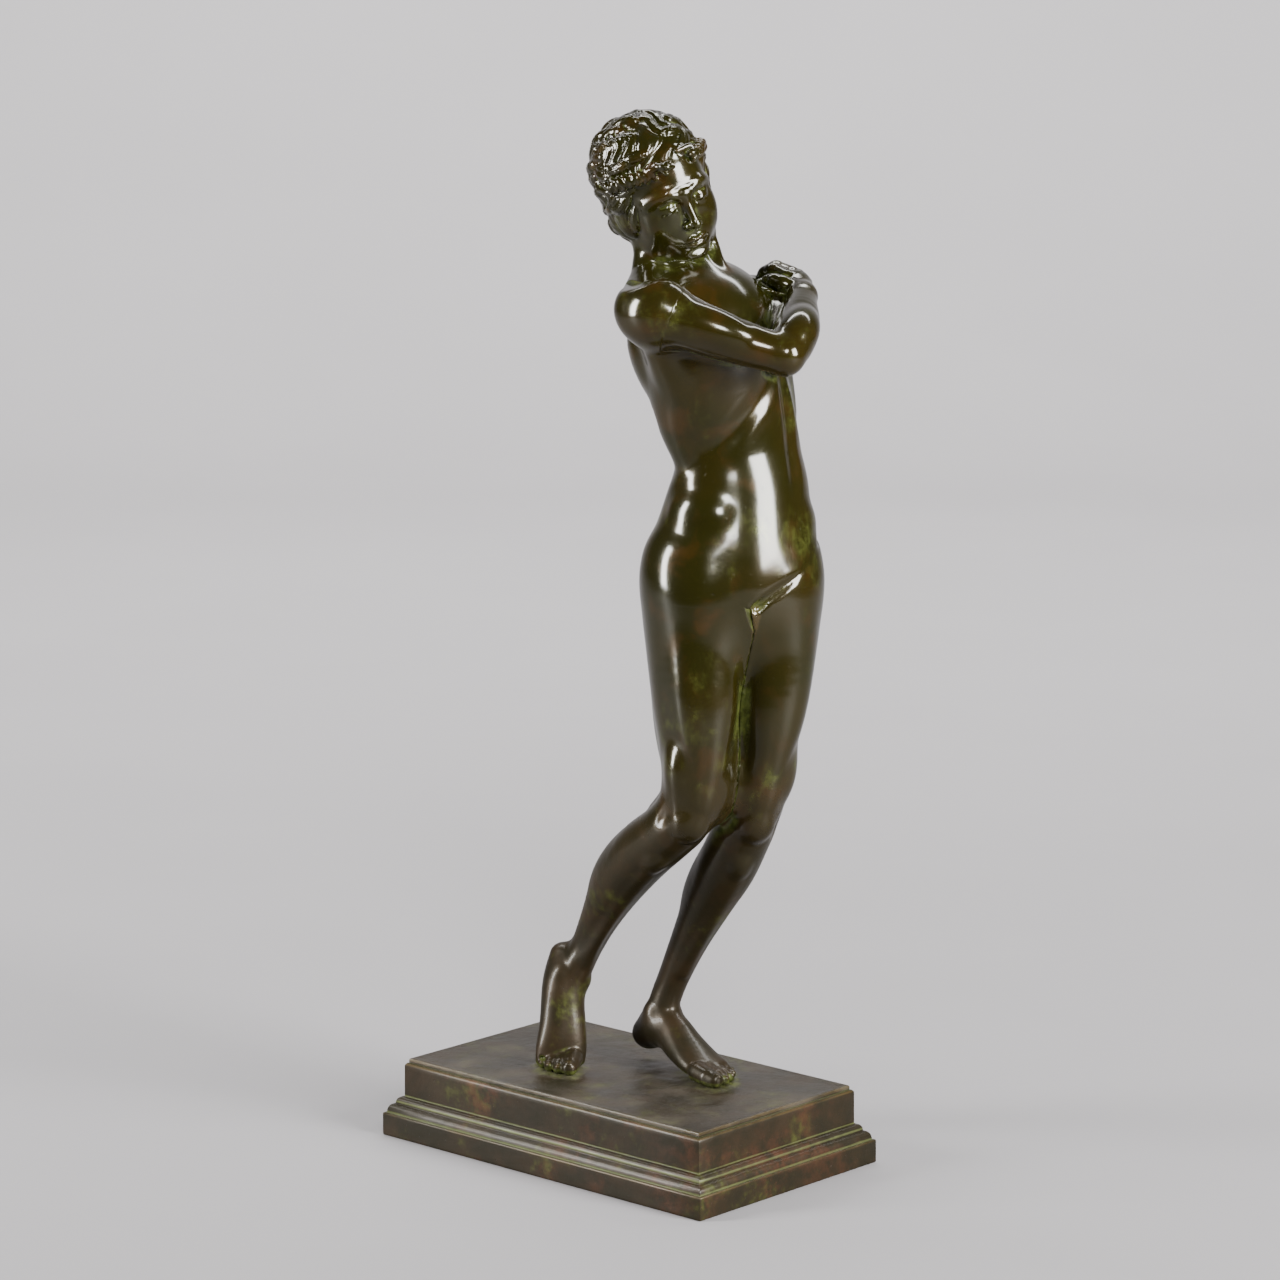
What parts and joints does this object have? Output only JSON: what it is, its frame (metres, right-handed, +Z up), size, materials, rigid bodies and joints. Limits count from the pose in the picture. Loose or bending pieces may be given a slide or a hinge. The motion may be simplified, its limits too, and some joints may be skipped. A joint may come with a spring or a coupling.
{
  "type": "bronze statuette",
  "caption": "Patinated bronze figure walking with folded arms, on a moulded rectangular bronze plinth with a hollow underside.",
  "frame": {"origin": "centre of the plinth's underside, on the surface it rests on", "axes": "+Z up; +X along the plinth's long side, the way the figure walks; -Y is the plinth's long face nearest the figure's right side"},
  "size_m": [0.22, 0.1494, 0.5317],
  "materials": {
    "figure_bronze": "dark olive-brown patina, waxed and glossy",
    "plinth_bronze": "satin red-brown patina",
    "ground_bronze": "satin grey-brown patina, slightly dusty",
    "joint_brass": "as turned",
    "bolt_steel": "plain steel, dull"
  },
  "bodies": {
    "root": {"plinth": "plinth_bronze", "ground_plate": "ground_bronze", "torso": "figure_bronze", "head": "figure_bronze", "right_arm": "figure_bronze", "left_arm": "figure_bronze", "right_hand": "figure_bronze", "left_hand": "figure_bronze", "right_leg": "figure_bronze", "left_leg": "figure_bronze", "neck_sleeve": "joint_brass", "right_shoulder_sleeve": "joint_brass", "left_shoulder_sleeve": "joint_brass", "right_hip_sleeve": "joint_brass", "left_hip_sleeve": "joint_brass", "neck_pins": "joint_brass", "right_shoulder_pins": "joint_brass", "left_shoulder_pins": "joint_brass", "right_hip_pins": "joint_brass", "left_hip_pins": "joint_brass", "right_wrist_dowel": "joint_brass", "left_wrist_dowel": "joint_brass", "right_foot_stud": "bolt_steel", "left_foot_stud": "bolt_steel", "right_foot_washer": "bolt_steel", "left_foot_washer": "bolt_steel", "right_foot_nut": "bolt_steel", "left_foot_nut": "bolt_steel"}
  },
  "joints": []
}
